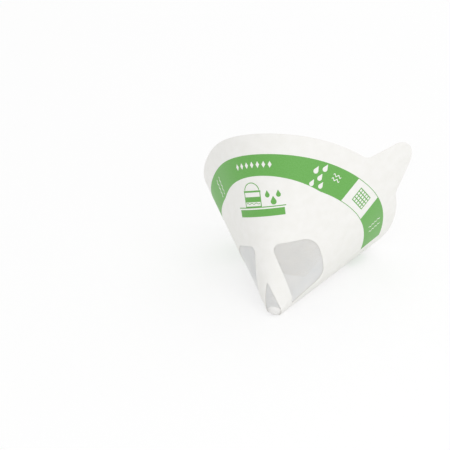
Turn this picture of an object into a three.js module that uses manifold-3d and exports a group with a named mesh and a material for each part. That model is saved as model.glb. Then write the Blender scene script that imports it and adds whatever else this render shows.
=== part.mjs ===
// Disposable paint strainer: a die-cut paper sheet, rolled and glued into an oval cone,
// with a nylon gauze liner glued behind its windows. It lies on its side, mouth towards +Y.
// Millimetres and degrees, +Z up.
//
// The cone is a rolled flat sheet, so every point is given as it lies on that sheet:
//   turn   degrees round the apex, from the front panel's middle line
//   reach  distance from the apex
//   depth  distance below the outer face of the paper
import * as THREE from 'three';
import { mergeVertices } from 'three/addons/utils/BufferGeometryUtils.js';
import Module from 'manifold-3d';

// Sheet materials
const PAPER = 0.35; // thickness of the coated paper
const GAUZE = 0.3; // thickness of the woven gauze
const GLUE = 0.3; // glue line between paper and gauze

// Cone, opened out and lying on a table
const SLANT = 165; // apex to rim, along the paper
const HALF_ANGLE = 33.56; // mean angle between the axis and the wall
const OVAL = { lobes: 2, cosine: 1.61, sine: -2.07 }; // how the wall's angle swells round the mouth
const THREE_LOBED = { lobes: 3, cosine: 0.73, sine: 0.79 };
const FOUR_LOBED = { lobes: 4, cosine: 0.23, sine: -1.17 };
const TABLE_PRESS = 1.5; // angle that the lowest line is pressed flat by
const TABLE_BLEND = 0.8; // angle over which the wall leaves the table
const FRONT_TURN = -12.7; // front panel's middle line, from the uppermost line of the lying cone

// Tongue to hold it by, on the fold between the two panels
const TONGUE_TURN = 51;
const TONGUE_REACH = 34.5; // past the rim
const TONGUE_END_RADIUS = 16.7;
const TONGUE_FLARE = 27.6; // angle of its sides to its middle line
const TONGUE_ROOT_RADIUS = 10;

// Glued seam: the sheet's end laps over its beginning
const SEAM_TURN = 84.2; // edge of the outer layer
const LAP_WIDTH = 13; // at the rim
const LAP_RAMP = 9; // width at the rim over which the lower layer comes up flush
const CUT_BEVEL = 0.12; // width at the rim of a cut edge

// Windows, measured on the flat sheet across and along the front line
const STRIP_WIDTH = 16.5; // paper between the two large windows
const WINDOW_TOP = 66.5; // apex to their top edge
const WINDOW_WIDTH = 41; // length of their top edge
const WINDOW_END_TURN = 71; // straight side next to the seam
const WINDOW_END_REACH = 66.5; // apex to the far corner on that side
const LEG_SPREAD = 15.1; // angle of the strip's outer edges to the front line
const STRIP_CORNER = 6;
const SHOULDER_CORNER = 17;
const FAR_CORNER = 10;
const TIP_CORNER = 2;

// Fork: the small window that splits the strip into two legs
const FORK_TOP = 33.5; // apex to its point
const FORK_SPREAD = 19.4; // angle of its sides to the front line
const FORK_POINT = 3; // degrees over which its point is rounded
const FORK_HALF_TURN = 48; // it runs out at the tip this far either side

// Tip
const TIP_REACH = 9.5; // the paper is cut off here
const TIP_DOME_START = 12.5; // the gauze rounds over from here

// Gauze: open where it spans the windows, filled with glue behind the paper
const GAUZE_TOP = 84; // apex to its upper edge
const WARP_COUNT = 30; // threads running down to the tip
const WARP_SHARE = 0.3; // part of their pitch that a warp thread fills
const WEFT_PITCH = 7.2;
const WEFT_WIDTH = 2;
const GLUE_MARGIN = 1.2; // glued border inside each window's edge

// Facets
const SHEET_STEP = 1.4; // degrees between the straight lines that the paper bends along
const TONGUE_STEP = 0.7;
const DOME_STEPS = 3;
const OUTLINE_STEPS = 12; // per rounded corner

const rad = THREE.MathUtils.degToRad;
const deg = THREE.MathUtils.radToDeg;

// Shape of the opened cone

const wallAngle = (round) =>
  [OVAL, THREE_LOBED, FOUR_LOBED].reduce(
    (sum, wave) =>
      sum + wave.cosine * Math.cos(wave.lobes * round) + wave.sine * Math.sin(wave.lobes * round),
    HALF_ANGLE,
  );

const AXIS_RISE = rad(wallAngle(Math.PI) - TABLE_PRESS);
const AXIS = new THREE.Vector3(0, Math.cos(AXIS_RISE), Math.sin(AXIS_RISE));
const AXIS_UP = new THREE.Vector3(0, -Math.sin(AXIS_RISE), Math.cos(AXIS_RISE));
const AXIS_SIDE = new THREE.Vector3(1, 0, 0);

// Rise of a line above the table once the table has flattened what would sink into it
function flattenedRise(rise) {
  const blend = rad(TABLE_BLEND);
  if (rise < -blend) return 0;
  return rise > blend ? rise : (rise + blend) ** 2 / (4 * blend);
}

// Direction of the wall's straight line at an angle round the axis, 0 uppermost
function wallLine(round) {
  const angle = rad(wallAngle(round));
  const line = AXIS.clone()
    .multiplyScalar(Math.cos(angle))
    .addScaledVector(AXIS_UP, Math.sin(angle) * Math.cos(round))
    .addScaledVector(AXIS_SIDE, Math.sin(angle) * Math.sin(round));
  const rise = flattenedRise(Math.asin(line.z));
  const heading = Math.atan2(line.x, line.y);
  return new THREE.Vector3(
    Math.cos(rise) * Math.sin(heading),
    Math.cos(rise) * Math.cos(heading),
    Math.sin(rise),
  );
}

// The wall unrolled: how far each line is turned on the flat sheet
const ROLL_STEPS = 1440;
const rolled = [];
for (let i = 0; i <= ROLL_STEPS; i++) {
  const line = wallLine((2 * Math.PI * i) / ROLL_STEPS - Math.PI);
  const before = rolled[i - 1];
  rolled.push({ line, turn: before ? before.turn + deg(before.line.angleTo(line)) : 0 });
}
const SHEET_TURN = rolled[ROLL_STEPS].turn; // angle of the whole flat sheet, without its lap
const UPPERMOST = rolled[ROLL_STEPS / 2].turn;

function lineAt(turn) {
  const raw = turn + UPPERMOST + FRONT_TURN;
  const place = raw - SHEET_TURN * Math.floor(raw / SHEET_TURN);
  let low = 0;
  let high = ROLL_STEPS;
  while (high - low > 1) {
    const middle = (low + high) >> 1;
    if (rolled[middle].turn > place) high = middle;
    else low = middle;
  }
  const share = (place - rolled[low].turn) / (rolled[high].turn - rolled[low].turn);
  return rolled[low].line.clone().lerp(rolled[high].line, share).normalize();
}

const NORMAL_SPAN = 0.3; // degrees either side that a normal is taken over
function sheetPoint(turn, reach, depth) {
  const ahead = lineAt(turn + NORMAL_SPAN);
  const inward = lineAt(turn - NORMAL_SPAN).cross(ahead).normalize();
  return lineAt(turn).multiplyScalar(reach).addScaledVector(inward, depth);
}

// Closed bodies from grids of points

// Column turns from a list of places that must be on one, with no gap wider than the step
function subdivided(places, stepAt) {
  const turns = [places[0]];
  for (let i = 1; i < places.length; i++) {
    const span = places[i] - places[i - 1];
    const count = Math.ceil(span / stepAt((places[i] + places[i - 1]) / 2));
    for (let k = 1; k <= count; k++) turns.push(places[i - 1] + (span * k) / count);
  }
  return turns;
}

// Points of the whole grid, two triangles for each quad that is listed in order round it
function closedBody(points, quads) {
  const index = quads.flatMap(([a, b, c, d]) => [a, b, c, a, c, d]);
  const geometry = new THREE.BufferGeometry();
  geometry.setAttribute('position', new THREE.Float32BufferAttribute(points.flatMap((p) => p.toArray()), 3));
  geometry.setIndex(index);
  return geometry;
}

// A wall between two reaches on each column. A closed wall runs once round the cone.
function wall(columns, closed) {
  const points = columns.flatMap(({ turn, low, high, outer, inner }) => [
    sheetPoint(turn, low, outer),
    sheetPoint(turn, high, outer),
    sheetPoint(turn, high, inner),
    sheetPoint(turn, low, inner),
  ]);
  const quads = [];
  const spans = closed ? columns.length : columns.length - 1;
  for (let i = 0; i < spans; i++) {
    const here = 4 * i;
    const next = 4 * ((i + 1) % columns.length);
    for (let side = 0; side < 4; side++) {
      const ahead = (side + 1) % 4;
      quads.push([here + side, next + side, next + ahead, here + ahead]);
    }
  }
  if (!closed) {
    const last = points.length - 4;
    quads.push([0, 1, 2, 3], [last + 3, last + 2, last + 1, last]);
  }
  return closedBody(points, quads);
}

// Paper

// Reach of the rim, an arc that the tongue grows out of
function rimReach(turn) {
  const away = rad(Math.abs(turn - TONGUE_TURN));
  const flare = rad(TONGUE_FLARE);
  const { endCentre, sideDistance, rootTurn, sideTurn, endTurn } = TONGUE;
  if (away > rootTurn) return SLANT;
  if (away > sideTurn) {
    const toCentre = SLANT + TONGUE_ROOT_RADIUS;
    const across = toCentre * Math.sin(rootTurn - away);
    return toCentre * Math.cos(rootTurn - away) - Math.sqrt(TONGUE_ROOT_RADIUS ** 2 - across ** 2);
  }
  if (away > endTurn) return sideDistance / Math.sin(away + flare);
  const across = endCentre * Math.sin(away);
  return endCentre * Math.cos(away) + Math.sqrt(TONGUE_END_RADIUS ** 2 - across ** 2);
}

// Tongue's round end, its straight sides and the fillets to the rim meet at these turns
function tongueOutline() {
  const flare = rad(TONGUE_FLARE);
  const endCentre = SLANT + TONGUE_REACH - TONGUE_END_RADIUS;
  const sideDistance = endCentre * Math.sin(flare) + TONGUE_END_RADIUS;
  const toRoot = SLANT + TONGUE_ROOT_RADIUS;
  const rootTurn = Math.asin((sideDistance + TONGUE_ROOT_RADIUS) / toRoot) - flare;
  const sideTurn = Math.atan2(
    toRoot * Math.sin(rootTurn) - TONGUE_ROOT_RADIUS * Math.cos(flare),
    toRoot * Math.cos(rootTurn) - TONGUE_ROOT_RADIUS * Math.sin(flare),
  );
  const endTurn = Math.atan2(
    TONGUE_END_RADIUS * Math.cos(flare),
    endCentre + TONGUE_END_RADIUS * Math.sin(flare),
  );
  return { endCentre, sideDistance, rootTurn, sideTurn, endTurn };
}
const TONGUE = tongueOutline();

const atRim = (width) => deg(width / SLANT);
const SHEET_START = SEAM_TURN - SHEET_TURN;
const LAP_START = SEAM_TURN - atRim(LAP_WIDTH);

// Depth of the outer face: the lower layer starts one sheet down and comes up flush
function outerDepth(turn) {
  const risen = (turn - SHEET_START) / atRim(LAP_RAMP);
  return PAPER * Math.max(0, 1 - risen);
}

// Depth of the inner face: two layers where the ends lap
function innerDepth(turn) {
  return turn >= LAP_START ? 2 * PAPER : outerDepth(turn) + PAPER;
}

function paperSheet() {
  const { rootTurn, sideTurn, endTurn } = TONGUE;
  const tongueTurns = [rootTurn, sideTurn, endTurn].map(deg);
  const places = [
    SHEET_START + atRim(CUT_BEVEL),
    SHEET_START + atRim(LAP_RAMP),
    ...tongueTurns.map((away) => TONGUE_TURN - away),
    ...tongueTurns.reverse().map((away) => TONGUE_TURN + away),
    LAP_START - atRim(CUT_BEVEL),
    LAP_START,
    SEAM_TURN,
  ];
  const onTongue = (turn) => Math.abs(turn - TONGUE_TURN) < deg(rootTurn);
  const turns = subdivided(places, (turn) => (onTongue(turn) ? TONGUE_STEP : SHEET_STEP));
  const columns = turns.map((turn) => ({
    turn,
    low: TIP_REACH,
    high: rimReach(turn),
    outer: outerDepth(turn),
    inner: innerDepth(turn),
  }));
  return wall(columns, true);
}

// Windows

// Outline through corners on the flat sheet, each rounded to its radius
function roundedOutline(corners) {
  const path = new THREE.Path();
  corners.forEach(({ at, radius }, i) => {
    const before = corners[(i + corners.length - 1) % corners.length].at;
    const after = corners[(i + 1) % corners.length].at;
    const back = before.clone().sub(at).normalize();
    const forth = after.clone().sub(at).normalize();
    const half = Math.acos(back.dot(forth)) / 2;
    const start = at.clone().addScaledVector(back, radius / Math.tan(half));
    const centre = back.clone().add(forth).normalize().multiplyScalar(radius / Math.sin(half)).add(at);
    const end = at.clone().addScaledVector(forth, radius / Math.tan(half));
    const clockwise = back.cross(forth) > 0;
    const from = start.sub(centre).angle();
    const to = end.sub(centre).angle();
    path.absarc(centre.x, centre.y, radius, from, to, clockwise);
  });
  path.closePath();
  return path.getPoints(OUTLINE_STEPS);
}

// Large window on the right of the front line, in flat coordinates across and along that line
function windowOutline() {
  const edgeSlope = Math.tan(rad(LEG_SPREAD));
  const endLine = new THREE.Vector2(Math.sin(rad(WINDOW_END_TURN)), Math.cos(rad(WINDOW_END_TURN)));
  const stripCorner = new THREE.Vector2(STRIP_WIDTH / 2, WINDOW_TOP);
  const shoulder = stripCorner.clone().add(new THREE.Vector2(WINDOW_WIDTH, 0));
  const farCorner = endLine.clone().multiplyScalar(WINDOW_END_REACH);
  const edgeReach = (stripCorner.x + edgeSlope * stripCorner.y) / (endLine.x + edgeSlope * endLine.y);
  const tipCorner = endLine.clone().multiplyScalar(edgeReach);
  return roundedOutline([
    { at: stripCorner, radius: STRIP_CORNER },
    { at: shoulder, radius: SHOULDER_CORNER },
    { at: farCorner, radius: FAR_CORNER },
    { at: tipCorner, radius: TIP_CORNER },
  ]);
}
const WINDOW = windowOutline();

// Reaches where the line at a turn from the front line enters and leaves the large window
function windowSpan(turn) {
  const line = new THREE.Vector2(Math.sin(rad(turn)), Math.cos(rad(turn)));
  const reaches = [];
  WINDOW.forEach((point, i) => {
    const next = WINDOW[(i + 1) % WINDOW.length];
    const side = line.cross(point);
    const nextSide = line.cross(next);
    if (side < 0 === nextSide < 0) return;
    reaches.push(point.clone().lerp(next, side / (side - nextSide)).dot(line));
  });
  return { low: Math.min(...reaches), high: Math.max(...reaches) };
}

const WINDOW_TURNS = WINDOW.map((point) => deg(Math.atan2(point.x, point.y)));
const WINDOW_FIRST = Math.min(...WINDOW_TURNS);
const WINDOW_LAST = Math.max(...WINDOW_TURNS);

// Reach of the fork's side at a turn from the front line
function forkReach(turn) {
  const slope = Math.tan(rad(FORK_SPREAD));
  const away = rad(Math.hypot(turn, FORK_POINT));
  return (FORK_TOP * slope) / (Math.sin(away) + slope * Math.cos(away));
}

// Solids that cut the windows, clear of the wall on both sides
const CUT_MARGIN = 1.5;
const CUTTER = { outer: -CUT_MARGIN, inner: 2 * PAPER + CUT_MARGIN };
const CUTTER_END = 0.02; // degrees left off the window's ends, where it closes to a point

function windowCutter(side) {
  const ends = [WINDOW_FIRST + CUTTER_END, WINDOW_LAST - CUTTER_END].map((turn) => turn * side);
  const turns = subdivided(ends.sort((a, b) => a - b), () => SHEET_STEP);
  return wall(turns.map((turn) => ({ turn, ...windowSpan(Math.abs(turn)), ...CUTTER })), false);
}

function forkCutter() {
  const turns = subdivided([-FORK_HALF_TURN, 0, FORK_HALF_TURN], () => 2 * SHEET_STEP);
  const low = TIP_REACH - CUT_MARGIN;
  return wall(turns.map((turn) => ({ turn, low, high: forkReach(turn), ...CUTTER })), false);
}

// Gauze

const WARP_PITCH = SHEET_TURN / WARP_COUNT;

// True where a mesh cell lies wholly in a window, clear of its glued border
function isOpen(turn, reach) {
  const away = Math.abs(turn);
  if (reach < forkReach(turn) - GLUE_MARGIN && away < FORK_HALF_TURN - deg(GLUE_MARGIN / reach)) return true;
  const margin = deg(GLUE_MARGIN / reach);
  return [away - margin, away + margin].every((edge) => {
    if (edge <= WINDOW_FIRST || edge >= WINDOW_LAST) return false;
    const { low, high } = windowSpan(edge);
    return reach > low + GLUE_MARGIN && reach < high - GLUE_MARGIN;
  });
}

// A lattice of warp and weft threads on the cone, closed by a rounded dome at the tip
function gauzeLiner() {
  const turns = [];
  for (let i = 0; i < WARP_COUNT; i++) {
    const start = SHEET_START + i * WARP_PITCH;
    turns.push(start, start + WARP_SHARE * WARP_PITCH);
  }
  const reaches = [TIP_DOME_START];
  for (let reach = GAUZE_TOP; reach - WEFT_WIDTH > TIP_DOME_START; reach -= WEFT_PITCH) {
    reaches.push(reach - WEFT_WIDTH, reach);
  }
  reaches.sort((a, b) => a - b);

  const rows = [...domeRows(turns), ...reaches.map((reach) => liningRow(turns, reach))];
  const wide = turns.length;
  const tips = [domePole(0), domePole(GAUZE)];
  const points = [...rows.flat(2), ...tips];
  const outer = (row, column) => 2 * (row * wide + (column % wide));
  const inner = (row, column) => outer(row, column) + 1;
  const outerTip = points.length - 2;
  const innerTip = points.length - 1;

  const gapRow = (row) => row >= DOME_STEPS && (rows.length - row) % 2 === 1;
  const isGap = (row, column) => {
    if (!gapRow(row) || column % 2 === 0 || row + 1 >= rows.length) return false;
    const low = reaches[row - DOME_STEPS];
    const high = reaches[row - DOME_STEPS + 1];
    const from = turns[column];
    const to = from + (1 - WARP_SHARE) * WARP_PITCH;
    return [from, to].every((turn) => [low, high].every((reach) => isOpen(turn, reach)));
  };

  const quads = [];
  for (let row = 0; row + 1 < rows.length; row++) {
    for (let column = 0; column < wide; column++) {
      const next = column + 1;
      if (!isGap(row, column)) {
        quads.push([outer(row, column), outer(row, next), outer(row + 1, next), outer(row + 1, column)]);
        quads.push([inner(row, column), inner(row + 1, column), inner(row + 1, next), inner(row, next)]);
        continue;
      }
      const ring = [[row, column], [row, next], [row + 1, next], [row + 1, column]];
      ring.forEach(([r, c], i) => {
        const [r2, c2] = ring[(i + 1) % 4];
        quads.push([outer(r, c), outer(r2, c2), inner(r2, c2), inner(r, c)]);
      });
    }
  }
  const top = rows.length - 1;
  for (let column = 0; column < wide; column++) {
    const next = column + 1;
    quads.push([outer(top, column), outer(top, next), inner(top, next), inner(top, column)]);
  }
  const body = closedBody(points, quads);
  const capped = [];
  for (let column = 0; column < wide; column++) {
    const next = column + 1;
    capped.push(outerTip, outer(0, next), outer(0, column));
    capped.push(innerTip, inner(0, column), inner(0, next));
  }
  body.setIndex([...body.index.array, ...capped]);
  return body;
}

// The gauze lies on the glue, and passes under the lap from one thread before it
function liningDepth(turn) {
  const paperDepth = turn > LAP_START - WARP_PITCH ? 2 * PAPER : innerDepth(turn);
  return paperDepth + GLUE;
}

function liningRow(turns, reach) {
  return turns.map((turn) => [
    sheetPoint(turn, reach, liningDepth(turn)),
    sheetPoint(turn, reach, liningDepth(turn) + GAUZE),
  ]);
}

// The dome over the tip is part of a ball that touches the wall all round at its first ring
const BALL_CENTRE = AXIS.clone().multiplyScalar(TIP_DOME_START / Math.cos(rad(HALF_ANGLE)));
const BALL_RADIUS = TIP_DOME_START * Math.tan(rad(HALF_ANGLE));

function domePole(depth) {
  return BALL_CENTRE.clone().addScaledVector(AXIS, liningDepth(0) + depth - BALL_RADIUS);
}

// Rows from next to the pole up to the wall, each swung round the ball from its ring point
function domeRows(turns) {
  const ring = liningRow(turns, TIP_DOME_START);
  const rows = [];
  for (let step = DOME_STEPS; step > 0; step--) {
    const share = step / (DOME_STEPS + 1);
    rows.push(ring.map((pair) => pair.map((point, face) => {
      const start = point.clone().sub(BALL_CENTRE);
      const end = domePole(face * GAUZE).sub(BALL_CENTRE);
      const swing = start.angleTo(end);
      return BALL_CENTRE.clone()
        .addScaledVector(start, Math.sin((1 - share) * swing) / Math.sin(swing))
        .addScaledVector(end, Math.sin(share * swing) / Math.sin(swing));
    })));
  }
  return rows;
}

// Booleans

const wasm = await Module();
wasm.setup();

function toSolid(geometry) {
  const merged = mergeVertices(geometry);
  return new wasm.Manifold(new wasm.Mesh({
    numProp: 3,
    vertProperties: merged.attributes.position.array,
    triVerts: new Uint32Array(merged.index.array),
  }));
}

function toGeometry(solid) {
  const { vertProperties, triVerts } = solid.getMesh();
  const geometry = new THREE.BufferGeometry();
  geometry.setAttribute('position', new THREE.BufferAttribute(vertProperties, 3));
  geometry.setIndex(new THREE.BufferAttribute(triVerts, 1));
  return geometry;
}

// Pieces

function piece(name, geometry, color, roughness) {
  geometry.computeVertexNormals();
  const mesh = new THREE.Mesh(geometry, new THREE.MeshStandardMaterial({ color, roughness, metalness: 0 }));
  mesh.name = name;
  return mesh;
}

function paperCone() {
  const windows = [windowCutter(1), windowCutter(-1), forkCutter()];
  const cut = windows.reduce((solid, cutter) => solid.subtract(toSolid(cutter)), toSolid(paperSheet()));
  return piece('paper_cone', toGeometry(cut), 0xf2f1ee, 0.6);
}

function meshGauze() {
  return piece('mesh_gauze', gauzeLiner(), 0xd9dbdc, 0.5);
}

const strainer = new THREE.Group();
strainer.add(paperCone(), meshGauze());

// Origin under the middle of the strainer, on the table
const box = new THREE.Box3().setFromObject(strainer, true);
const middle = box.getCenter(new THREE.Vector3());
strainer.children.forEach((mesh) => mesh.position.set(-middle.x, -middle.y, -box.min.z));

export default strainer;
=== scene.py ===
"""Disposable paper paint strainer, opened into a cone and lying on its side.

The real one is a flat die-cut sheet that is printed, rolled and glued, so it is modelled
that way. Each piece is drawn flat in millimetres, with the apex at the origin and the
front panel's middle line along +Y, and then rolled onto the cone in metres. Only the
closed tip of the gauze is shaped over a ball instead. A place on the flat sheet is a turn
from the front line, to the right, and a reach from the apex. Sizes are in millimetres, and
turns and angles in degrees, where a comment doesn't say otherwise.
"""

from math import acos, asin, atan2, ceil, cos, degrees, hypot, pi, radians, sin, sqrt, tan

import bmesh
import bpy
import numpy as np
from mathutils import Matrix, Vector

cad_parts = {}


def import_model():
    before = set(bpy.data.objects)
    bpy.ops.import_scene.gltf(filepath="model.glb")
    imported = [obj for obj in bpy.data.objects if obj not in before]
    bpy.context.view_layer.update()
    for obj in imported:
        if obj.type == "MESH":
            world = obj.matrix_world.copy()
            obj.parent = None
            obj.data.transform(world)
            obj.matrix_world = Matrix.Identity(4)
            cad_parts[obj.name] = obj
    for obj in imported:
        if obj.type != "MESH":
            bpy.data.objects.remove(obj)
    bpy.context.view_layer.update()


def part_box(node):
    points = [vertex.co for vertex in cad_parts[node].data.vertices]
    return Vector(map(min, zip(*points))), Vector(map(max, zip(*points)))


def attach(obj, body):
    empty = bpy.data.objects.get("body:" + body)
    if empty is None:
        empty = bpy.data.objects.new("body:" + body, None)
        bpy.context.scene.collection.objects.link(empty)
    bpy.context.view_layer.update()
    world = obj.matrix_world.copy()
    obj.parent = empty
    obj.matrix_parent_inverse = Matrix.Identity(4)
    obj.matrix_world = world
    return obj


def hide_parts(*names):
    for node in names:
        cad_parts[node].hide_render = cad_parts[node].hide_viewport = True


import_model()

MM = 0.001

# Sheet materials
PAPER = 0.35
GLUE = 0.3
LINING = 0.05  # gauze flattened into a film of glue
LINING_GAP = 0.02
INK = 0.04

# Cone lying on the table, as the construction has it
SLANT = 165.0
HALF_ANGLE = 33.56
SWELLS = ((2, 1.61, -2.07), (3, 0.73, 0.79), (4, 0.23, -1.17))  # lobes, and degrees of cosine and sine
TABLE_PRESS = 1.5  # degrees that the lowest line is pressed flat by
TABLE_BLEND = 0.8  # degrees over which the wall leaves the table
FRONT_TURN = -12.7

# Tongue, seam and folds
TONGUE_TURN = 51.0
TONGUE_REACH = 34.5
TONGUE_END_RADIUS = 16.7
TONGUE_FLARE = 27.6  # degrees from its sides to its middle line
TONGUE_ROOT_RADIUS = 10.0
SEAM_TURN = 84.2
LAP_WIDTH = 13.0
LAP_RAMP = 9.0
LAP_CLEARANCE = 0.02
FOLD_RIDGE = 0.3  # how far a flattened and reopened fold stands proud
FOLD_REACH = 2.6  # distance to either side at which about a third of that is left

# Large windows, across and along the front line
STRIP_WIDTH = 16.5
WINDOW_TOP = 66.5
WINDOW_WIDTH = 41.0
WINDOW_END_TURN = 71.0
WINDOW_END_REACH = 66.5
LEG_SPREAD = 15.1  # degrees from the strip's legs to the front line
CORNERS = {"strip": 6.0, "shoulder": 17.0, "far": 10.0, "tip": 2.0}  # radii

# Fork window and the paper's edge at the tip. To match the photograph, the fork is taller
# and more pointed than the construction's, and the paper ends sooner.
FORK_TOP = 35.5
FORK_POINT = 1.2  # degrees over which its point is rounded
FORK_SPREAD = 19.4  # degrees from its sides to the front line
FORK_HALF_TURN = 48.0
FORK_OVERCUT = 2.0  # how far the fork's cut runs past the paper's edge
TIP_REACH = 11.8

# Gauze
GAUZE_TOP = 84.0
DOME_START = 12.5
THREAD_PITCH = 0.8  # real ones are about half as far apart, by estimate, too fine to show
THREAD_RADIUS = 0.21  # thicker than to scale, so that the windows look about as light as real
THREAD_SIDES = 5
THREAD_GAP = 0.01  # between the middle of the weave and a thread that crosses it
GAUZE_BORDER = 1.2  # woven border glued behind the paper round each window
WEAVE_RELIEF = 0.1  # of the threads under the film of glue

# Green band and its white label
BAND_OUTER = 147.0
BAND_INNER = 121.0
BAND_MARGIN = 5.0  # degrees left white at either end of the sheet
ARCH_TURN = 2.0
ARCH_RISE = 7.0
ARCH_HALF_TURN = 27.0
LABEL_LEFT = -23.3  # label's sides, from the tongue's middle line
LABEL_RIGHT = 10.0
HAIRLINE = 0.6  # green that stays above and below the label

# White ornaments in the band
DROPS = (  # turn, reach and radius of each
    (24.6, 137.2, 2.3),
    (27.8, 140.9, 2.3),
    (26.9, 131.9, 2.2),
    (24.3, 125.4, 2.1),
    (28.3, 125.4, 2.1),
)
DROP_LENGTH = 2.2  # in radii
DROP_LEAN = 14  # degrees
DIAMONDS = 7
DIAMOND_TURN = -7.2  # of the first one
DIAMOND_STEP = 2.4  # degrees
DIAMOND_REACH = 138.0
DIAMOND_SIZE = (3.6, 6.0)  # across and up
WAVY_LINES = (  # turn, reach, lean in degrees, length, height, thickness, number of waves
    (33.4, 139.2, 0, 8.4, 0.9, 1.1, 2),
    (33.4, 135.4, 0, 8.4, 0.9, 1.1, 2),
    (-27.2, 132.5, 90, 17.0, 0.9, 1.2, 4),
    (-24.2, 132.5, 90, 17.0, 0.9, 1.2, 4),
    (66.2, 135.0, 90, 15.0, 0.8, 1.1, 4),
    (69.4, 135.0, 90, 15.0, 0.8, 1.1, 4),
)

# Green mesh square on the label
MESH_BARS = (6, 5)  # upright and level
MESH_STEP = 3.2
MESH_SIZE = (16.9, 13.4)  # across and up
MESH_LINE = 0.9

# Green paint can under the band, about the middle of its picture
CAN_TURN = 1.0
CAN_REACH = 108.5
CAN_X = -6.0
CAN_RADIUS = 8.6
CAN_LINE = 0.9
CAN_DROPS = (  # middle, radius and length of each
    (14.4, -4.2, 2.6, 5.2),
    (9.4, 2.0, 2.1, 4.4),
    (19.4, 1.6, 2.1, 4.4),
)

# Facets
ROUND_STEPS = 2880  # lines that the shape of the wall is worked out on
ROLL_STEP = 0.5  # degrees between the straight lines that the paper bends along
INK_STEP = 1.0  # degrees between those of small printed marks
ROW_STEP = 6.0
TIP_ROW_STEP = 0.8
TONGUE_ROWS = 6
CORNER_STEPS = 14
FORK_STEPS = 96
WAVE_STEPS = 12  # along one wave of a wavy line
DROP_POINTS = 20
ARCH_POINTS = 25
LABEL_POINTS = 40
RIM_STEP = 0.1  # degrees between the places on the rim that the apex is found from
NORMAL_SPAN = 0.3  # degrees to either side of a point, to find which way the wall faces
SMOOTH_ANGLE = 25
UV_SPAN = 400.0  # millimetres of flat sheet that the UV square covers

# Working margins
FACING = 0.5  # upright part of a normal past which a flat sheet's face lies level
CUT_DEPTH = 2.0  # how far a die stands above and below the sheet
RIM_PLAY = 0.01  # how far inside the rim a vertex still counts as on it
SHORTEST_TONGUE = 0.01  # where the tongue stands out less, the rim stays as it is
FAN_WELD = 0.0005  # joins what the spin leaves double
WEAVE_WELD = 0.01  # joins a thread from one cell of the weave to the next
RING_PLAY = 0.02  # share of a spacing by which a ring of a thread may be off its step
THREAD_SHARE = 0.3  # share of a spacing that holds a thread to either side of its middle
TIP_POLE = 0.02  # where the tip's columns stop short of a point, to be welded there
TIP_WELD = 0.06  # closes the tip's seam and its pole


# Shape of the opened cone


def wall_lines(rounds):
    """Unit directions of the wall's straight lines at angles round the axis, and the axis.

    The angles are in radians, with 0 uppermost.
    """

    def wall_angle(angle):
        swells = (c * np.cos(n * angle) + s * np.sin(n * angle) for n, c, s in SWELLS)
        return np.radians(HALF_ANGLE + sum(swells))

    rise = wall_angle(pi) - radians(TABLE_PRESS)
    axis = np.array([0, cos(rise), sin(rise)])
    up = np.array([0, -sin(rise), cos(rise)])
    side = np.array([1.0, 0, 0])
    angle = wall_angle(rounds)[:, None]
    around = np.cos(rounds)[:, None] * up + np.sin(rounds)[:, None] * side
    lines = np.cos(angle) * axis + np.sin(angle) * around
    rises = np.arcsin(lines[:, 2])
    headings = np.arctan2(lines[:, 0], lines[:, 1])
    blend = radians(TABLE_BLEND)
    blended = (rises + blend) ** 2 / (4 * blend)
    rises = np.where(rises < -blend, 0, np.where(rises > blend, rises, blended))
    level = np.cos(rises)
    return np.stack([level * np.sin(headings), level * np.cos(headings), np.sin(rises)], 1), axis


ROUNDS = np.linspace(-pi, pi, ROUND_STEPS + 1)
LINES, AXIS = wall_lines(ROUNDS)
STEPS = np.linalg.norm(np.diff(LINES, axis=0), axis=1)
UNROLLED = np.degrees(np.concatenate([[0], np.cumsum(STEPS)]))
SHEET_TURN = UNROLLED[-1]
UPPERMOST = UNROLLED[len(ROUNDS) // 2]
SHEET_START = SEAM_TURN - SHEET_TURN


def at_rim(width):
    """Degrees that a width takes at the rim."""
    return degrees(width / SLANT)


def lines_at(turns):
    """Unit directions of the wall's straight lines at turns of the flat sheet."""
    place = (turns + UPPERMOST + FRONT_TURN) % SHEET_TURN
    lines = np.stack([np.interp(place, UNROLLED, LINES[:, i]) for i in range(3)], 1)
    return lines / np.linalg.norm(lines, axis=1)[:, None]


def layer_depth(turns):
    """Depth of the sheet's outer face: the lower end of the lap starts one sheet down."""
    risen = (turns - SHEET_START) / at_rim(LAP_RAMP)
    return (PAPER + LAP_CLEARANCE) * np.clip(1 - risen, 0, 1)


def fold_ridges(turns, reaches):
    """Height of the two folds, where the strainer lay flat before it was opened."""
    height = 0
    for fold in (TONGUE_TURN, TONGUE_TURN - SHEET_TURN / 2):
        away = np.radians(np.abs(turns - fold)) * reaches
        height = height + FOLD_RIDGE * np.exp(-((away / FOLD_REACH) ** 2))
    return height


def turns_and_reaches(flat):
    """Turn from the front line, and distance from the apex, of each flat point."""
    return np.degrees(np.arctan2(flat[:, 0], flat[:, 1])), np.hypot(flat[:, 0], flat[:, 1])


def rolled(flat):
    """Rolls flat points, in millimetres with height above the sheet's face, onto the cone."""
    turns, reaches = turns_and_reaches(flat)
    lines = lines_at(turns)
    inward = np.cross(lines_at(turns - NORMAL_SPAN), lines_at(turns + NORMAL_SPAN))
    inward /= np.linalg.norm(inward, axis=1)[:, None]
    depth = layer_depth(turns) - fold_ridges(turns, reaches) - flat[:, 2]
    return (lines * reaches[:, None] + inward * depth[:, None]) * MM


# Modelling helpers


def select_only(*pieces):
    bpy.ops.object.select_all(action="DESELECT")
    for piece in pieces:
        piece.select_set(True)
    bpy.context.view_layer.objects.active = pieces[0]


def added(name):
    """The object that an operator just added, named and alone in the selection."""
    piece = bpy.context.object
    piece.name = name
    piece.data.name = name
    select_only(piece)
    return piece


def edit(piece):
    select_only(piece)
    bpy.ops.object.mode_set(mode="EDIT")


def leave_edit():
    bpy.ops.object.mode_set(mode="OBJECT")


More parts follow.
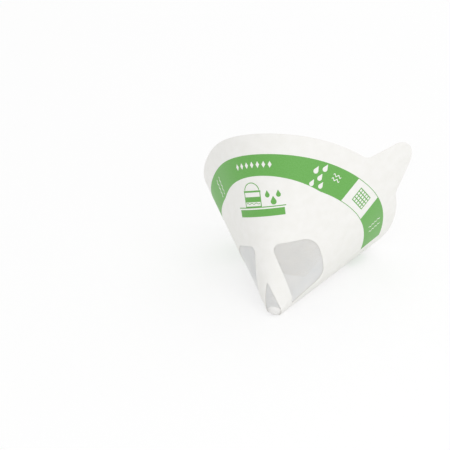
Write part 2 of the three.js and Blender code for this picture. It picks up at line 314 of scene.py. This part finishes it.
def select_points(piece, wanted):
    """Selects the vertices whose place passes the test, in edit mode."""
    bpy.ops.mesh.select_mode(type="VERT")
    mesh = bmesh.from_edit_mesh(piece.data)
    for vertex in mesh.verts:
        vertex.select = bool(wanted(vertex.co))
    mesh.select_flush_mode()
    bmesh.update_edit_mesh(piece.data)


def apply_modifier(piece, kind, **settings):
    select_only(piece)
    modifier = piece.modifiers.new(kind.title(), kind)
    for name, value in settings.items():
        setattr(modifier, name, value)
    bpy.ops.object.modifier_apply(modifier=modifier.name)


def points_of(piece):
    """The piece's vertices, one row each."""
    flat = np.empty(len(piece.data.vertices) * 3)
    piece.data.vertices.foreach_get("co", flat)
    return flat.reshape(-1, 3)


def set_points(piece, points):
    piece.data.vertices.foreach_set("co", points.ravel())
    piece.data.update()


def joined(name, pieces):
    """Joins pieces into one, under a new name."""
    select_only(*pieces)
    if len(pieces) > 1:
        bpy.ops.object.join()
    return added(name)


def turn_of(point):
    return degrees(atan2(point[0], point[1]))


# The flat sheet


def fan(name, first, last, low, high, row_step=ROW_STEP):
    """A flat fan: a straight line between two reaches, spun about the apex."""
    bpy.ops.mesh.primitive_plane_add(size=1)
    piece = added(name)
    edit(piece)
    select_points(piece, lambda co: co.x > 0)
    bpy.ops.mesh.delete(type="VERT")
    bpy.ops.mesh.select_all(action="SELECT")
    rows = max(1, ceil((high - low) / row_step))
    if rows > 1:
        bpy.ops.mesh.subdivide(number_cuts=rows - 1)
    leave_edit()
    reaches = low + (high - low) * (points_of(piece)[:, 1] + 0.5)
    direction = np.array([sin(radians(first)), cos(radians(first)), 0])
    set_points(piece, reaches[:, None] * direction)
    edit(piece)
    bpy.ops.mesh.select_all(action="SELECT")
    columns = ceil((last - first) / ROLL_STEP)
    angle = radians(last - first)
    bpy.ops.mesh.spin(steps=columns, angle=angle, center=(0, 0, 0), axis=(0, 0, 1))
    bpy.ops.mesh.select_all(action="SELECT")
    bpy.ops.mesh.remove_doubles(threshold=FAN_WELD)
    leave_edit()
    if piece.data.polygons[0].normal.z < 0:
        piece.data.flip_normals()
    return piece


def rim_reach(turn):
    """Reach of the cut edge: the rim's arc, the tongue's straight sides and its round end."""
    away = radians(abs(turn - TONGUE_TURN))
    flare = radians(TONGUE_FLARE)
    end_centre = SLANT + TONGUE_REACH - TONGUE_END_RADIUS
    side_distance = end_centre * sin(flare) + TONGUE_END_RADIUS
    to_root = SLANT + TONGUE_ROOT_RADIUS
    root_turn = asin((side_distance + TONGUE_ROOT_RADIUS) / to_root) - flare
    side_turn = atan2(
        to_root * sin(root_turn) - TONGUE_ROOT_RADIUS * cos(flare),
        to_root * cos(root_turn) - TONGUE_ROOT_RADIUS * sin(flare),
    )
    end_turn = atan2(
        TONGUE_END_RADIUS * cos(flare), end_centre + TONGUE_END_RADIUS * sin(flare)
    )
    if away > root_turn:
        return SLANT
    if away > side_turn:
        across = to_root * sin(root_turn - away)
        return to_root * cos(root_turn - away) - sqrt(TONGUE_ROOT_RADIUS**2 - across**2)
    if away > end_turn:
        return side_distance / sin(away + flare)
    across = end_centre * sin(away)
    return end_centre * cos(away) + sqrt(TONGUE_END_RADIUS**2 - across**2)


def grow_tongue(piece):
    """Extrudes the rim between the tongue's roots, row by row, to the tongue's outline."""
    edit(piece)
    rim = SLANT - RIM_PLAY
    shortest = SLANT + SHORTEST_TONGUE
    select_points(piece, lambda co: co.length > rim and rim_reach(turn_of(co)) > shortest)
    for row in range(1, TONGUE_ROWS + 1):
        bpy.ops.mesh.extrude_region_move()
        mesh = bmesh.from_edit_mesh(piece.data)
        for vertex in mesh.verts:
            if vertex.select:
                turn = turn_of(vertex.co)
                reach = SLANT + (rim_reach(turn) - SLANT) * row / TONGUE_ROWS
                vertex.co = Vector((sin(radians(turn)), cos(radians(turn)), 0)) * reach
        bmesh.update_edit_mesh(piece.data)
    leave_edit()


def rounded_outline(corners):
    """Points of an outline through (x, y, radius) corners, each rounded to its radius."""
    points = []
    for i, (x, y, radius) in enumerate(corners):
        at = Vector((x, y))
        back = (Vector(corners[i - 1][:2]) - at).normalized()
        forth = (Vector(corners[(i + 1) % len(corners)][:2]) - at).normalized()
        half = acos(back.dot(forth)) / 2
        centre = at + (back + forth).normalized() * (radius / sin(half))
        start = at + back * (radius / tan(half)) - centre
        sweep = (pi - 2 * half) * (1 if back.cross(forth) < 0 else -1)
        for step in range(CORNER_STEPS + 1):
            turned = Matrix.Rotation(sweep * step / CORNER_STEPS, 2) @ start
            points.append(tuple(centre + turned))
    return points


def window_outline(side):
    """Large window to the right (1) or left (-1) of the front line."""
    slope = tan(radians(LEG_SPREAD))
    end_x, end_y = sin(radians(WINDOW_END_TURN)), cos(radians(WINDOW_END_TURN))
    strip_x = STRIP_WIDTH / 2
    tip_reach = (strip_x + slope * WINDOW_TOP) / (end_x + slope * end_y)
    corners = [
        (strip_x, WINDOW_TOP, CORNERS["strip"]),
        (strip_x + WINDOW_WIDTH, WINDOW_TOP, CORNERS["shoulder"]),
        (end_x * WINDOW_END_REACH, end_y * WINDOW_END_REACH, CORNERS["far"]),
        (end_x * tip_reach, end_y * tip_reach, CORNERS["tip"]),
    ]
    return [(side * x, y) for x, y in rounded_outline(corners)]


def fork_reach(turn):
    """Reach of the fork window's two sides, which meet in a rounded point on the front line."""
    slope = tan(radians(FORK_SPREAD))
    away = radians(hypot(turn, FORK_POINT))
    return FORK_TOP * slope / (sin(away) + slope * cos(away))


def fork_outline(low):
    """Small window between the strip's legs, open at the tip."""
    turns = np.linspace(-FORK_HALF_TURN, FORK_HALF_TURN, FORK_STEPS + 1)
    top = [(fork_reach(t) * sin(radians(t)), fork_reach(t) * cos(radians(t))) for t in turns]
    bottom = [(low * sin(radians(t)), low * cos(radians(t))) for t in turns[::-1]]
    return top + bottom


def prism(name, outline, low, high):
    """A closed solid between two heights over a flat outline."""
    mesh = bpy.data.meshes.new(name)
    mesh.from_pydata([(x, y, low) for x, y in outline], [], [tuple(range(len(outline)))])
    piece = bpy.data.objects.new(name, mesh)
    bpy.context.collection.objects.link(piece)
    edit(piece)
    bpy.ops.mesh.select_all(action="SELECT")
    bpy.ops.mesh.extrude_region_move(TRANSFORM_OT_translate={"value": (0, 0, high - low)})
    bpy.ops.mesh.select_all(action="SELECT")
    bpy.ops.mesh.normals_make_consistent(inside=False)
    leave_edit()
    return piece


def divide_many_sided(piece):
    """Divides faces of more than four sides while they are flat, so that they bend well."""
    edit(piece)
    bpy.ops.mesh.select_mode(type="FACE")
    bpy.ops.mesh.select_all(action="DESELECT")
    bpy.ops.mesh.select_face_by_sides(number=4, type="GREATER")
    bpy.ops.mesh.quads_convert_to_tris(ngon_method="BEAUTY")
    leave_edit()


def die_cut(piece, outlines):
    """Cuts windows through a flat sheet, and divides the faces that this leaves many-sided."""
    for outline in outlines:
        die = prism("die", outline, -CUT_DEPTH, CUT_DEPTH)
        apply_modifier(piece, "BOOLEAN", operation="DIFFERENCE", solver="EXACT", object=die)
        bpy.data.objects.remove(die)
    divide_many_sided(piece)


def window_outlines():
    return [window_outline(1), window_outline(-1), fork_outline(TIP_REACH - FORK_OVERCUT)]


def lay_out(piece):
    """UV map of the flat sheet, to scale."""
    layer = piece.data.uv_layers.new(name="flat")
    points = points_of(piece)
    corners = np.empty(len(piece.data.loops), dtype=int)
    piece.data.loops.foreach_get("vertex_index", corners)
    layer.data.foreach_set("uv", (points[corners, :2] / UV_SPAN + 0.5).ravel())


def roll_up(piece):
    """Rolls a finished flat piece onto the cone and seats it in the construction's place."""
    lay_out(piece)
    set_points(piece, rolled(points_of(piece)) + APEX)
    select_only(piece)
    bpy.ops.object.shade_smooth_by_angle(angle=radians(SMOOTH_ANGLE))


def apex_place():
    """Where the apex lies in the construction, from the box of the paper."""
    turns = np.arange(SHEET_START, SEAM_TURN, RIM_STEP)
    reaches = np.array([rim_reach(turn) for turn in turns])
    rim = lines_at(turns) * reaches[:, None]
    return np.array(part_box("paper_cone")[1]) - rim.max(0) * MM


APEX = apex_place()


# Materials


def linear(hex_colour):
    """Linear RGBA of an sRGB hex colour."""
    channels = [int(hex_colour[i : i + 2], 16) / 255 for i in (1, 3, 5)]
    return [c / 12.92 if c <= 0.04045 else ((c + 0.055) / 1.055) ** 2.4 for c in channels] + [1]


def new_material(name, roughness):
    material = bpy.data.materials.new(name)
    material.use_nodes = True
    shader = material.node_tree.nodes["Principled BSDF"]
    shader.inputs["Roughness"].default_value = roughness
    return material, shader


def node(material, kind, inputs=None, **settings):
    """Adds a node. An input is a value, or an output socket to link from."""
    added_node = material.node_tree.nodes.new(kind)
    for name, value in settings.items():
        setattr(added_node, name, value)
    for name, value in (inputs or {}).items():
        socket = added_node.inputs[name]
        if isinstance(value, bpy.types.NodeSocket):
            material.node_tree.links.new(value, socket)
        else:
            socket.default_value = value
    return added_node


def flat_millimetres(material):
    """Position on the flat sheet, in millimetres."""
    uv = node(material, "ShaderNodeUVMap", uv_map="flat")
    scale = (UV_SPAN, UV_SPAN, UV_SPAN)
    return node(material, "ShaderNodeMapping", {"Vector": uv.outputs[0], "Scale": scale}).outputs[0]


def bump(material, height, strength, distance):
    """Relief from a texture's height, as a normal. Its distance is in millimetres."""
    inputs = {"Height": height, "Strength": strength, "Distance": distance * MM}
    return node(material, "ShaderNodeBump", inputs).outputs[0]


def fibre_bump(material, place, size, height):
    """Felted fibres of about one size, as a normal."""
    inputs = {"Vector": place, "Scale": 1 / size, "Detail": 6}
    fibres = node(material, "ShaderNodeTexNoise", inputs)
    return bump(material, fibres.outputs["Fac"], strength=0.5, distance=height)


def mottled(material, place, size, colours, low=0.35, high=0.65):
    """Colour that drifts between two near tones over patches of about one size."""
    inputs = {"Vector": place, "Scale": 1 / size, "Detail": 4}
    patches = node(material, "ShaderNodeTexNoise", inputs)
    ramp = node(material, "ShaderNodeValToRGB", {"Fac": patches.outputs["Fac"]})
    for element, at, colour in zip(ramp.color_ramp.elements, (low, high), colours):
        element.position = at
        element.color = linear(colour)
    return ramp.outputs["Color"]


def surfaced(material, shader, colour, normal=None):
    """Links a colour, and a relief where there is one, to the material's shader."""
    material.node_tree.links.new(colour, shader.inputs["Base Color"])
    if normal is not None:
        material.node_tree.links.new(normal, shader.inputs["Normal"])
    return material


def coated_paper():
    """Clay-coated bleached paper, calendered: near white, a low even gloss, faint fibres."""
    material, shader = new_material("coated paper", roughness=0.55)
    place = flat_millimetres(material)
    colour = mottled(material, place, size=9, colours=("#EFEEEA", "#F2F1EE"))
    fibres = fibre_bump(material, place, size=0.9, height=0.03)
    return surfaced(material, shader, colour, fibres)


def paper_back():
    """Uncoated back of the same paper: duller and more fibrous, and coloured darker and warmer than
    the front as painted shade with a painted warm reflection inside the cone.
    """
    material, shader = new_material("uncoated paper back with painted shade", roughness=0.85)
    place = flat_millimetres(material)
    # painted shade: the white paper's inside drawn as a darker, warmer taupe, with a painted warm
    # reflection
    colour = mottled(material, place, size=2, colours=("#CDC6B8", "#D3CCBF"))
    fibres = fibre_bump(material, place, size=0.6, height=0.02)
    return surfaced(material, shader, colour, fibres)


def cut_edge():
    """Die-cut edge of the paper, where the bare fibre core shows."""
    material, shader = new_material("cut paper edge", roughness=0.9)
    place = flat_millimetres(material)
    colour = mottled(material, place, size=1.5, colours=("#E6E3DC", "#F0EEE8"))
    return surfaced(material, shader, colour)


def green_ink():
    """Flexographic ink on coated paper: satin, with the mottle of a soft printing plate."""
    material, shader = new_material("flexo green ink", roughness=0.42)
    place = flat_millimetres(material)
    colour = mottled(material, place, size=1.2, colours=("#64AA4B", "#6DB056"))
    fibres = fibre_bump(material, place, size=0.9, height=0.03)
    return surfaced(material, shader, colour, fibres)


def nylon_thread():
    """Woven nylon monofilament: milky white, smooth, with a soft gloss."""
    material, shader = new_material("nylon monofilament", roughness=0.38)
    shader.inputs["IOR"].default_value = 1.53
    place = flat_millimetres(material)
    colour = mottled(material, place, size=14, colours=("#ECEDED", "#F1F1F0"))
    return surfaced(material, shader, colour)


WAVE_PERIOD = pi / 10  # of a wave texture at a scale of 1


def glued_gauze():
    """Gauze bedded in dried glue: a closed milky film with the weave showing as relief."""
    material, shader = new_material("gauze bedded in glue", roughness=0.75)
    place = flat_millimetres(material)
    threads = []
    for direction in ("X", "Y"):
        wave = node(
            material,
            "ShaderNodeTexWave",
            {"Vector": place, "Scale": WAVE_PERIOD / THREAD_PITCH},
            wave_type="BANDS",
            bands_direction=direction,
        )
        threads.append(wave.outputs["Fac"])
    weave = node(material, "ShaderNodeMath", {0: threads[0], 1: threads[1]}, operation="MAXIMUM")
    relief = bump(material, weave.outputs[0], strength=0.6, distance=WEAVE_RELIEF)
    colour = mottled(material, place, size=6, colours=("#EBEAE8", "#EFEEEC"))
    return surfaced(material, shader, colour, relief)


# Pieces


def finish(piece, *materials, replaces=()):
    """Gives a rolled piece its materials and seats it on the body."""
    for material in materials:
        piece.data.materials.append(material)
    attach(piece, "root")
    for cad_node in replaces:
        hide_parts(cad_node)
    return piece


def paper_side(normal):
    """Which material a face of the flat sheet shows: 0 front, 1 back, 2 cut edge."""
    if abs(normal.z) < FACING:
        return 2
    return 0 if normal.z > 0 else 1


def paper_sheet():
    """The die-cut sheet with its tongue, windows and lap, one sheet thick."""
    lap = at_rim(LAP_WIDTH)
    piece = fan("paper_sheet", SHEET_START - lap, SEAM_TURN, TIP_REACH, SLANT)
    grow_tongue(piece)
    apply_modifier(piece, "SOLIDIFY", thickness=PAPER, offset=-1)
    die_cut(piece, window_outlines())
    sides = [paper_side(polygon.normal) for polygon in piece.data.polygons]
    roll_up(piece)
    finish(piece, coated_paper(), paper_back(), cut_edge(), replaces=["paper_cone"])
    piece.data.polygons.foreach_set("material_index", sides)
    return piece


def weave_cell(name, crossing):
    """Two warp and two weft threads, over and under each other, first crossing at a point."""
    threads = []
    for index in range(2):
        for along in ("warp", "weft"):
            bpy.ops.mesh.primitive_cylinder_add(
                vertices=THREAD_SIDES,
                radius=THREAD_RADIUS,
                depth=2 * THREAD_PITCH,
                end_fill_type="NOTHING",
                rotation=(pi / 2, 0, 0),
            )
            thread = added(f"{name}_{along}")
            bpy.ops.object.transform_apply(location=False, rotation=True, scale=False)
            edit(thread)
            for cut in (-0.5, 0, 0.5):
                bpy.ops.mesh.select_all(action="SELECT")
                bpy.ops.mesh.bisect(plane_co=(0, cut * THREAD_PITCH, 0), plane_no=(0, 1, 0))
            leave_edit()
            points = points_of(thread)
            wave = np.cos(pi * (points[:, 1] / THREAD_PITCH + index))
            points[:, 2] += (THREAD_RADIUS + THREAD_GAP) * wave
            points[:, 0] += index * THREAD_PITCH
            if along == "weft":
                points = points[:, [1, 0, 2]] * (1, 1, -1)
            set_points(thread, points)
            threads.append(thread)
    cell = joined(name, threads)
    set_points(cell, points_of(cell) + (*crossing, 0))
    return cell


def grown(outline, margin):
    """The outline moved outwards by a margin."""
    points = np.array(outline)
    ahead = np.roll(points, -1, axis=0) - np.roll(points, 1, axis=0)
    normals = np.stack([ahead[:, 1], -ahead[:, 0]], 1)
    normals /= np.linalg.norm(normals, axis=1)[:, None]
    nexts = np.roll(points, -1, axis=0)
    area = np.sum(points[:, 0] * nexts[:, 1] - nexts[:, 0] * points[:, 1])
    return points + normals * margin * np.sign(area)


def inside(points, outline):
    """For each flat point, whether it lies inside the outline."""
    result = np.zeros(len(points), dtype=bool)
    x, y = points[:, 0], points[:, 1]
    for (x1, y1), (x2, y2) in zip(outline, np.roll(outline, -1, axis=0)):
        if y1 == y2:
            continue
        crosses = ((y1 > y) != (y2 > y)) & (x < (x2 - x1) * (y - y1) / (y2 - y1) + x1)
        result ^= crosses
    return result


def ring_middles(points, low):
    """For each point of the weave, the middle of the ring of its thread that it is on.

    A thread has a ring of points at each half spacing. The weft runs along x.
    """
    places = (points - low) / THREAD_PITCH
    nearest = np.round(places)
    on_step = np.abs(2 * places[:, 0] - np.round(2 * places[:, 0])) < RING_PLAY
    weft = on_step & (np.abs(places[:, 1] - nearest[:, 1]) < THREAD_SHARE)
    places[weft, 1] = nearest[weft, 1]
    places[~weft, 0] = nearest[~weft, 0]
    return low + places * THREAD_PITCH


def gauze_window(name, outline):
    """Plain-woven gauze over one window, with its border glued behind the paper."""
    cut = grown(outline, GAUZE_BORDER)
    low, high = cut.min(0), cut.max(0)
    piece = weave_cell(name, low)
    spans = np.ceil((high - low) / (2 * THREAD_PITCH)).astype(int) + 1
    for axis, count in enumerate(spans):
        offset = [0, 0, 0]
        offset[axis] = 2 * THREAD_PITCH
        apply_modifier(
            piece,
            "ARRAY",
            count=int(count),
            use_relative_offset=False,
            use_constant_offset=True,
            constant_offset_displace=offset,
            use_merge_vertices=True,
            merge_threshold=WEAVE_WELD,
        )
    middles = ring_middles(points_of(piece)[:, :2], low)
    kept = inside(middles, cut) & (np.hypot(middles[:, 0], middles[:, 1]) > DOME_START)
    mesh = bmesh.new()
    mesh.from_mesh(piece.data)
    mesh.verts.ensure_lookup_table()
    bmesh.ops.delete(mesh, geom=[mesh.verts[i] for i in np.flatnonzero(~kept)], context="VERTS")
    mesh.to_mesh(piece.data)
    mesh.free()
    edit(piece)
    bpy.ops.mesh.select_all(action="SELECT")
    bpy.ops.mesh.delete_loose(use_faces=False)
    bpy.ops.mesh.select_all(action="SELECT")
    bpy.ops.mesh.fill_holes(sides=THREAD_SIDES)
    leave_edit()
    points = points_of(piece)
    points[:, 2] -= PAPER + GLUE + THREAD_RADIUS
    set_points(piece, points)
    roll_up(piece)
    return piece


LINING_DEPTH = PAPER + LINING_GAP


def gauze_lining():
    """Gauze bedded in glue behind the paper, cut out where it spans the windows."""
    lap = at_rim(LAP_WIDTH)
    piece = fan("gauze_lining", SHEET_START - lap, SEAM_TURN - lap, DOME_START, GAUZE_TOP)
    points = points_of(piece)
    points[:, 2] = -LINING_DEPTH
    set_points(piece, points)
    apply_modifier(piece, "SOLIDIFY", thickness=LINING, offset=-1)
    die_cut(piece, window_outlines())
    cut_area = sum(face.area for face in piece.data.polygons if face.normal.z > FACING)
    roll_up(piece)
    return piece, cut_area * MM * MM


def gauze_tip():
    """Closed tip of the gauze liner, pulled round over a forming ball.

    Each point goes from the ball's pole towards the liner's edge by its share of the reach.
    """
    piece = fan("gauze_tip", SHEET_START, SEAM_TURN, TIP_POLE, DOME_START, TIP_ROW_STEP)
    lay_out(piece)
    points = points_of(piece)
    turns, reaches = turns_and_reaches(points)
    share = reaches / DOME_START
    height = layer_depth(turns) - PAPER - LINING_DEPTH
    edge = rolled(np.stack([points[:, 0] / share, points[:, 1] / share, height], 1))
    centre = AXIS * DOME_START / cos(radians(HALF_ANGLE)) * MM
    spokes = edge - centre
    lengths = np.linalg.norm(spokes, axis=1)
    spokes /= lengths[:, None]
    tilt = np.arccos(-(spokes @ AXIS))
    ball = DOME_START * tan(radians(HALF_ANGLE)) * MM
    lengths = ball + (lengths - ball) * share**2
    outward = np.sin(tilt * share)[:, None] * spokes - np.sin(tilt * (1 - share))[:, None] * AXIS
    outward /= np.linalg.norm(outward, axis=1)[:, None]
    set_points(piece, centre + outward * lengths[:, None] + APEX)
    edit(piece)
    bpy.ops.mesh.select_all(action="SELECT")
    bpy.ops.mesh.remove_doubles(threshold=TIP_WELD * MM)
    bpy.ops.mesh.normals_make_consistent(inside=False)
    leave_edit()
    apply_modifier(piece, "SOLIDIFY", thickness=LINING * MM, offset=-1)
    select_only(piece)
    bpy.ops.object.shade_smooth()
    return piece


# Print


def polar(turn, reach, points, lean=0.0):
    """Moves an outline drawn about its own middle to a turn and reach, top outwards.

    It leans from there by an angle, clockwise.
    """
    angle = -radians(turn + lean)
    x0, y0 = reach * sin(radians(turn)), reach * cos(radians(turn))
    return [
        (x0 + x * cos(angle) - y * sin(angle), y0 + x * sin(angle) + y * cos(angle))
        for x, y in points
    ]


def moved(points, x, y):
    return [(px + x, py + y) for px, py in points]


def block(width, height, x=0.0, y=0.0):
    """A rectangle about a middle point."""
    w, h = width / 2, height / 2
    return [(x - w, y - h), (x + w, y - h), (x + w, y + h), (x - w, y + h)]


def drop(radius, length):
    """A water drop with its point up."""
    wide = degrees(acos(radius / length))
    angles = np.radians(np.linspace(90 + wide, 450 - wide, DROP_POINTS))
    return [(radius * cos(a), radius * sin(a)) for a in angles] + [(0, length)]


def ripple(length, height, line, waves):
    """A wavy line."""
    xs = np.linspace(-length / 2, length / 2, WAVE_STEPS * waves + 1)
    ys = height * np.sin((xs / length + 0.5) * 2 * pi * waves)
    over = [(x, y + line / 2) for x, y in zip(xs, ys)]
    under = [(x, y - line / 2) for x, y in zip(xs, ys)]
    return under + over[::-1]


def arch(radius, line, low, high, x=0.0, y=0.0):
    """Part of a ring between two angles, in degrees."""
    angles = np.radians(np.linspace(low, high, ARCH_POINTS))
    outer = [(x + radius * cos(a), y + radius * sin(a)) for a in angles]
    inner = [(x + (radius - line) * cos(a), y + (radius - line) * sin(a)) for a in angles]
    return outer + inner[::-1]


def diamond(width, height):
    return [(-width / 2, 0), (0, -height / 2), (width / 2, 0), (0, height / 2)]


def band_inner(turn):
    """Inner edge of the band, which arches over the picture on the front panel."""
    away = np.clip(np.abs(turn - ARCH_TURN) / ARCH_HALF_TURN, 0, 1)
    return BAND_INNER + ARCH_RISE * np.cos(away * pi / 2)


def label_outline():
    """White label in the band, square to the tongue, between two thin green lines."""
    offsets = np.linspace(LABEL_LEFT, LABEL_RIGHT, LABEL_POINTS)
    points = []
    for reach, across in ((BAND_INNER + HAIRLINE, offsets), (BAND_OUTER - HAIRLINE, offsets[::-1])):
        for offset in across:
            turn = radians(TONGUE_TURN) + asin(offset / reach)
            points.append((reach * sin(turn), reach * cos(turn)))
    return points


def band_gaps():
    """Places where the band is left white: label, drops, diamonds and wavy lines."""
    gaps = [label_outline()]
    for turn, reach, radius in DROPS:
        gaps.append(polar(turn, reach, drop(radius, radius * DROP_LENGTH), DROP_LEAN))
    for index in range(DIAMONDS):
        turn = DIAMOND_TURN + DIAMOND_STEP * index
        gaps.append(polar(turn, DIAMOND_REACH, diamond(*DIAMOND_SIZE)))
    for turn, reach, lean, *wave in WAVY_LINES:
        gaps.append(polar(turn, reach, ripple(*wave), lean))
    return gaps


def label_mesh():
    """A square mesh in the middle of the label, square to the tongue as the label is."""
    reach = (BAND_OUTER + BAND_INNER) / 2
    turn = degrees(asin((LABEL_LEFT + LABEL_RIGHT) / 2 / reach)) + TONGUE_TURN
    width, height = MESH_SIZE
    upright, level = (MESH_STEP * (np.arange(count) - (count - 1) / 2) for count in MESH_BARS)
    bars = [block(MESH_LINE, height, x=x) for x in upright]
    bars += [block(width, MESH_LINE, y=y) for y in level]
    return [polar(turn, reach, bar, lean=TONGUE_TURN - turn) for bar in bars]


def paint_can():
    """A plain paint can on a line over a bar, with drops beside it."""
    bar = block(47, 6.5, y=-13.2)
    ground = block(50, CAN_LINE, y=-8.2)
    base = block(18, CAN_LINE, x=CAN_X, y=-7.4)
    walls = [block(CAN_LINE, 14, x=CAN_X + side * CAN_RADIUS, y=-0.9) for side in (-1, 1)]
    lid = block(18.6, 1.6, x=CAN_X, y=6.1)
    handle = arch(CAN_RADIUS, 0.8, 12, 168, x=CAN_X, y=5.6)
    stripe = block(16.3, 4.6, x=CAN_X, y=-1.0)
    wave = moved(ripple(15, 0.5, 0.6, 3), CAN_X, -4.6)
    drops = [moved(drop(radius, length), x, y) for x, y, radius, length in CAN_DROPS]
    outlines = [bar, ground, base, *walls, lid, handle, stripe, wave, *drops]
    return [polar(CAN_TURN, CAN_REACH, outline) for outline in outlines]


def green_band():
    """Green band round the mouth, with its white gaps cut out."""
    first, last = SHEET_START + BAND_MARGIN, SEAM_TURN - BAND_MARGIN
    piece = fan("green_band", first, last, BAND_INNER, BAND_OUTER)
    points = points_of(piece)
    turns, reaches = turns_and_reaches(points)
    share = (reaches - BAND_INNER) / (BAND_OUTER - BAND_INNER)
    inner = band_inner(turns)
    set_points(piece, points * ((inner + (BAND_OUTER - inner) * share) / reaches)[:, None])
    apply_modifier(piece, "SOLIDIFY", thickness=INK, offset=1)
    die_cut(piece, band_gaps())
    roll_up(piece)
    return piece


def printed(name, outlines):
    """Ink patches over flat outlines, divided along the lines that the paper bends on."""
    patches = [prism(f"{name}_{i}", outline, 0, INK) for i, outline in enumerate(outlines)]
    piece = joined(name, patches)
    turns = turns_and_reaches(points_of(piece))[0]
    edit(piece)
    for turn in np.arange(ceil(turns.min()), turns.max(), INK_STEP):
        across = (cos(radians(turn)), -sin(radians(turn)), 0)
        bpy.ops.mesh.select_all(action="SELECT")
        bpy.ops.mesh.bisect(plane_co=(0, 0, 0), plane_no=across)
    leave_edit()
    divide_many_sided(piece)
    roll_up(piece)
    return piece


def build():
    paper_sheet()
    ink = green_ink()
    for piece in (green_band(), printed("green_marks", label_mesh() + paint_can())):
        finish(piece, ink)
    threads = nylon_thread()
    for name, outline in zip(("gauze_right", "gauze_left", "gauze_fork"), window_outlines()):
        finish(gauze_window(name, outline), threads, replaces=["mesh_gauze"])
    film = glued_gauze()
    finish(gauze_tip(), film, replaces=["mesh_gauze"])
    lining, cut_area = gauze_lining()
    finish(lining, film, replaces=["mesh_gauze"])


build()


# Camera: the photograph's view, from its fit to the cone's outline
IMAGE = 450  # pixels, as are the next two
FOCAL = 3128.0
APEX_PIXEL = (272.25, 320.57)
CAMERA_DISTANCE = 2750.0 * MM  # from the apex
CAMERA_RISE = radians(29.53)
CAMERA_SIDE = radians(12.82)
SENSOR = 36.0


def place_camera():
    away = Vector(
        (
            -sin(CAMERA_SIDE) * cos(CAMERA_RISE),
            cos(CAMERA_SIDE) * cos(CAMERA_RISE),
            -sin(CAMERA_RISE),
        )
    )
    right = Vector((cos(CAMERA_SIDE), sin(CAMERA_SIDE), 0))
    up = right.cross(away)
    aside = APEX_PIXEL[0] - IMAGE / 2
    below = APEX_PIXEL[1] - IMAGE / 2
    aim = (away * FOCAL - right * aside + up * below).normalized()
    squint = away.rotation_difference(aim).to_matrix()
    axes = Matrix((squint @ right, squint @ up, squint @ -away)).transposed()
    data = bpy.data.cameras.new("camera")
    data.sensor_width = SENSOR
    data.lens = FOCAL * SENSOR / IMAGE
    camera = bpy.data.objects.new("camera", data)
    camera.matrix_world = Matrix.Translation(Vector(APEX) - away * CAMERA_DISTANCE) @ axes.to_4x4()
    bpy.context.collection.objects.link(camera)
    bpy.context.scene.camera = camera


place_camera()


# Floor, lamps and background
FLOOR_SIZE = 6.0  # metres
FLOOR_WHITENESS = 0.65  # how far the camera sees the floor as plain white, under a faint shadow
SKY_STRENGTH = 0.82


def floor():
    """White floor that takes the part's shadow, lightened for the camera alone."""
    bpy.ops.mesh.primitive_plane_add(size=FLOOR_SIZE)
    piece = added("floor")
    material, shader = new_material("white paper floor", roughness=0.9)
    shader.inputs["Base Color"].default_value = linear("#FFFFFF")
    path = node(material, "ShaderNodeLightPath")
    seen = node(
        material,
        "ShaderNodeMath",
        {0: path.outputs["Is Camera Ray"], 1: FLOOR_WHITENESS},
        operation="MULTIPLY",
    )
    white = node(material, "ShaderNodeEmission", {"Color": linear("#FFFFFF"), "Strength": 1.0})
    mix = node(
        material,
        "ShaderNodeMixShader",
        {0: seen.outputs[0], 1: shader.outputs[0], 2: white.outputs[0]},
    )
    output = material.node_tree.nodes["Material Output"]
    material.node_tree.links.new(mix.outputs[0], output.inputs["Surface"])
    piece.data.materials.append(material)


def lamp(name, place, size, power):
    """Square softbox aimed at the floor under the middle of the part, placed in metres."""
    data = bpy.data.lights.new(name, "AREA")
    data.size = size
    data.energy = power
    piece = bpy.data.objects.new(name, data)
    piece.location = place
    piece.rotation_euler = (-Vector(place)).to_track_quat("-Z", "Y").to_euler()
    bpy.context.collection.objects.link(piece)


def world():
    background = bpy.data.worlds.new("studio")
    background.use_nodes = True
    shade = background.node_tree.nodes["Background"]
    shade.inputs["Color"].default_value = linear("#FFFFFF")
    shade.inputs["Strength"].default_value = SKY_STRENGTH
    bpy.context.scene.world = background


floor()
world()
lamp("key", (0.9, -1.1, 1.2), size=1.4, power=7)
lamp("fill", (0.2, 1.2, 1.3), size=1.4, power=3)
bpy.context.scene.view_settings.view_transform = "Standard"
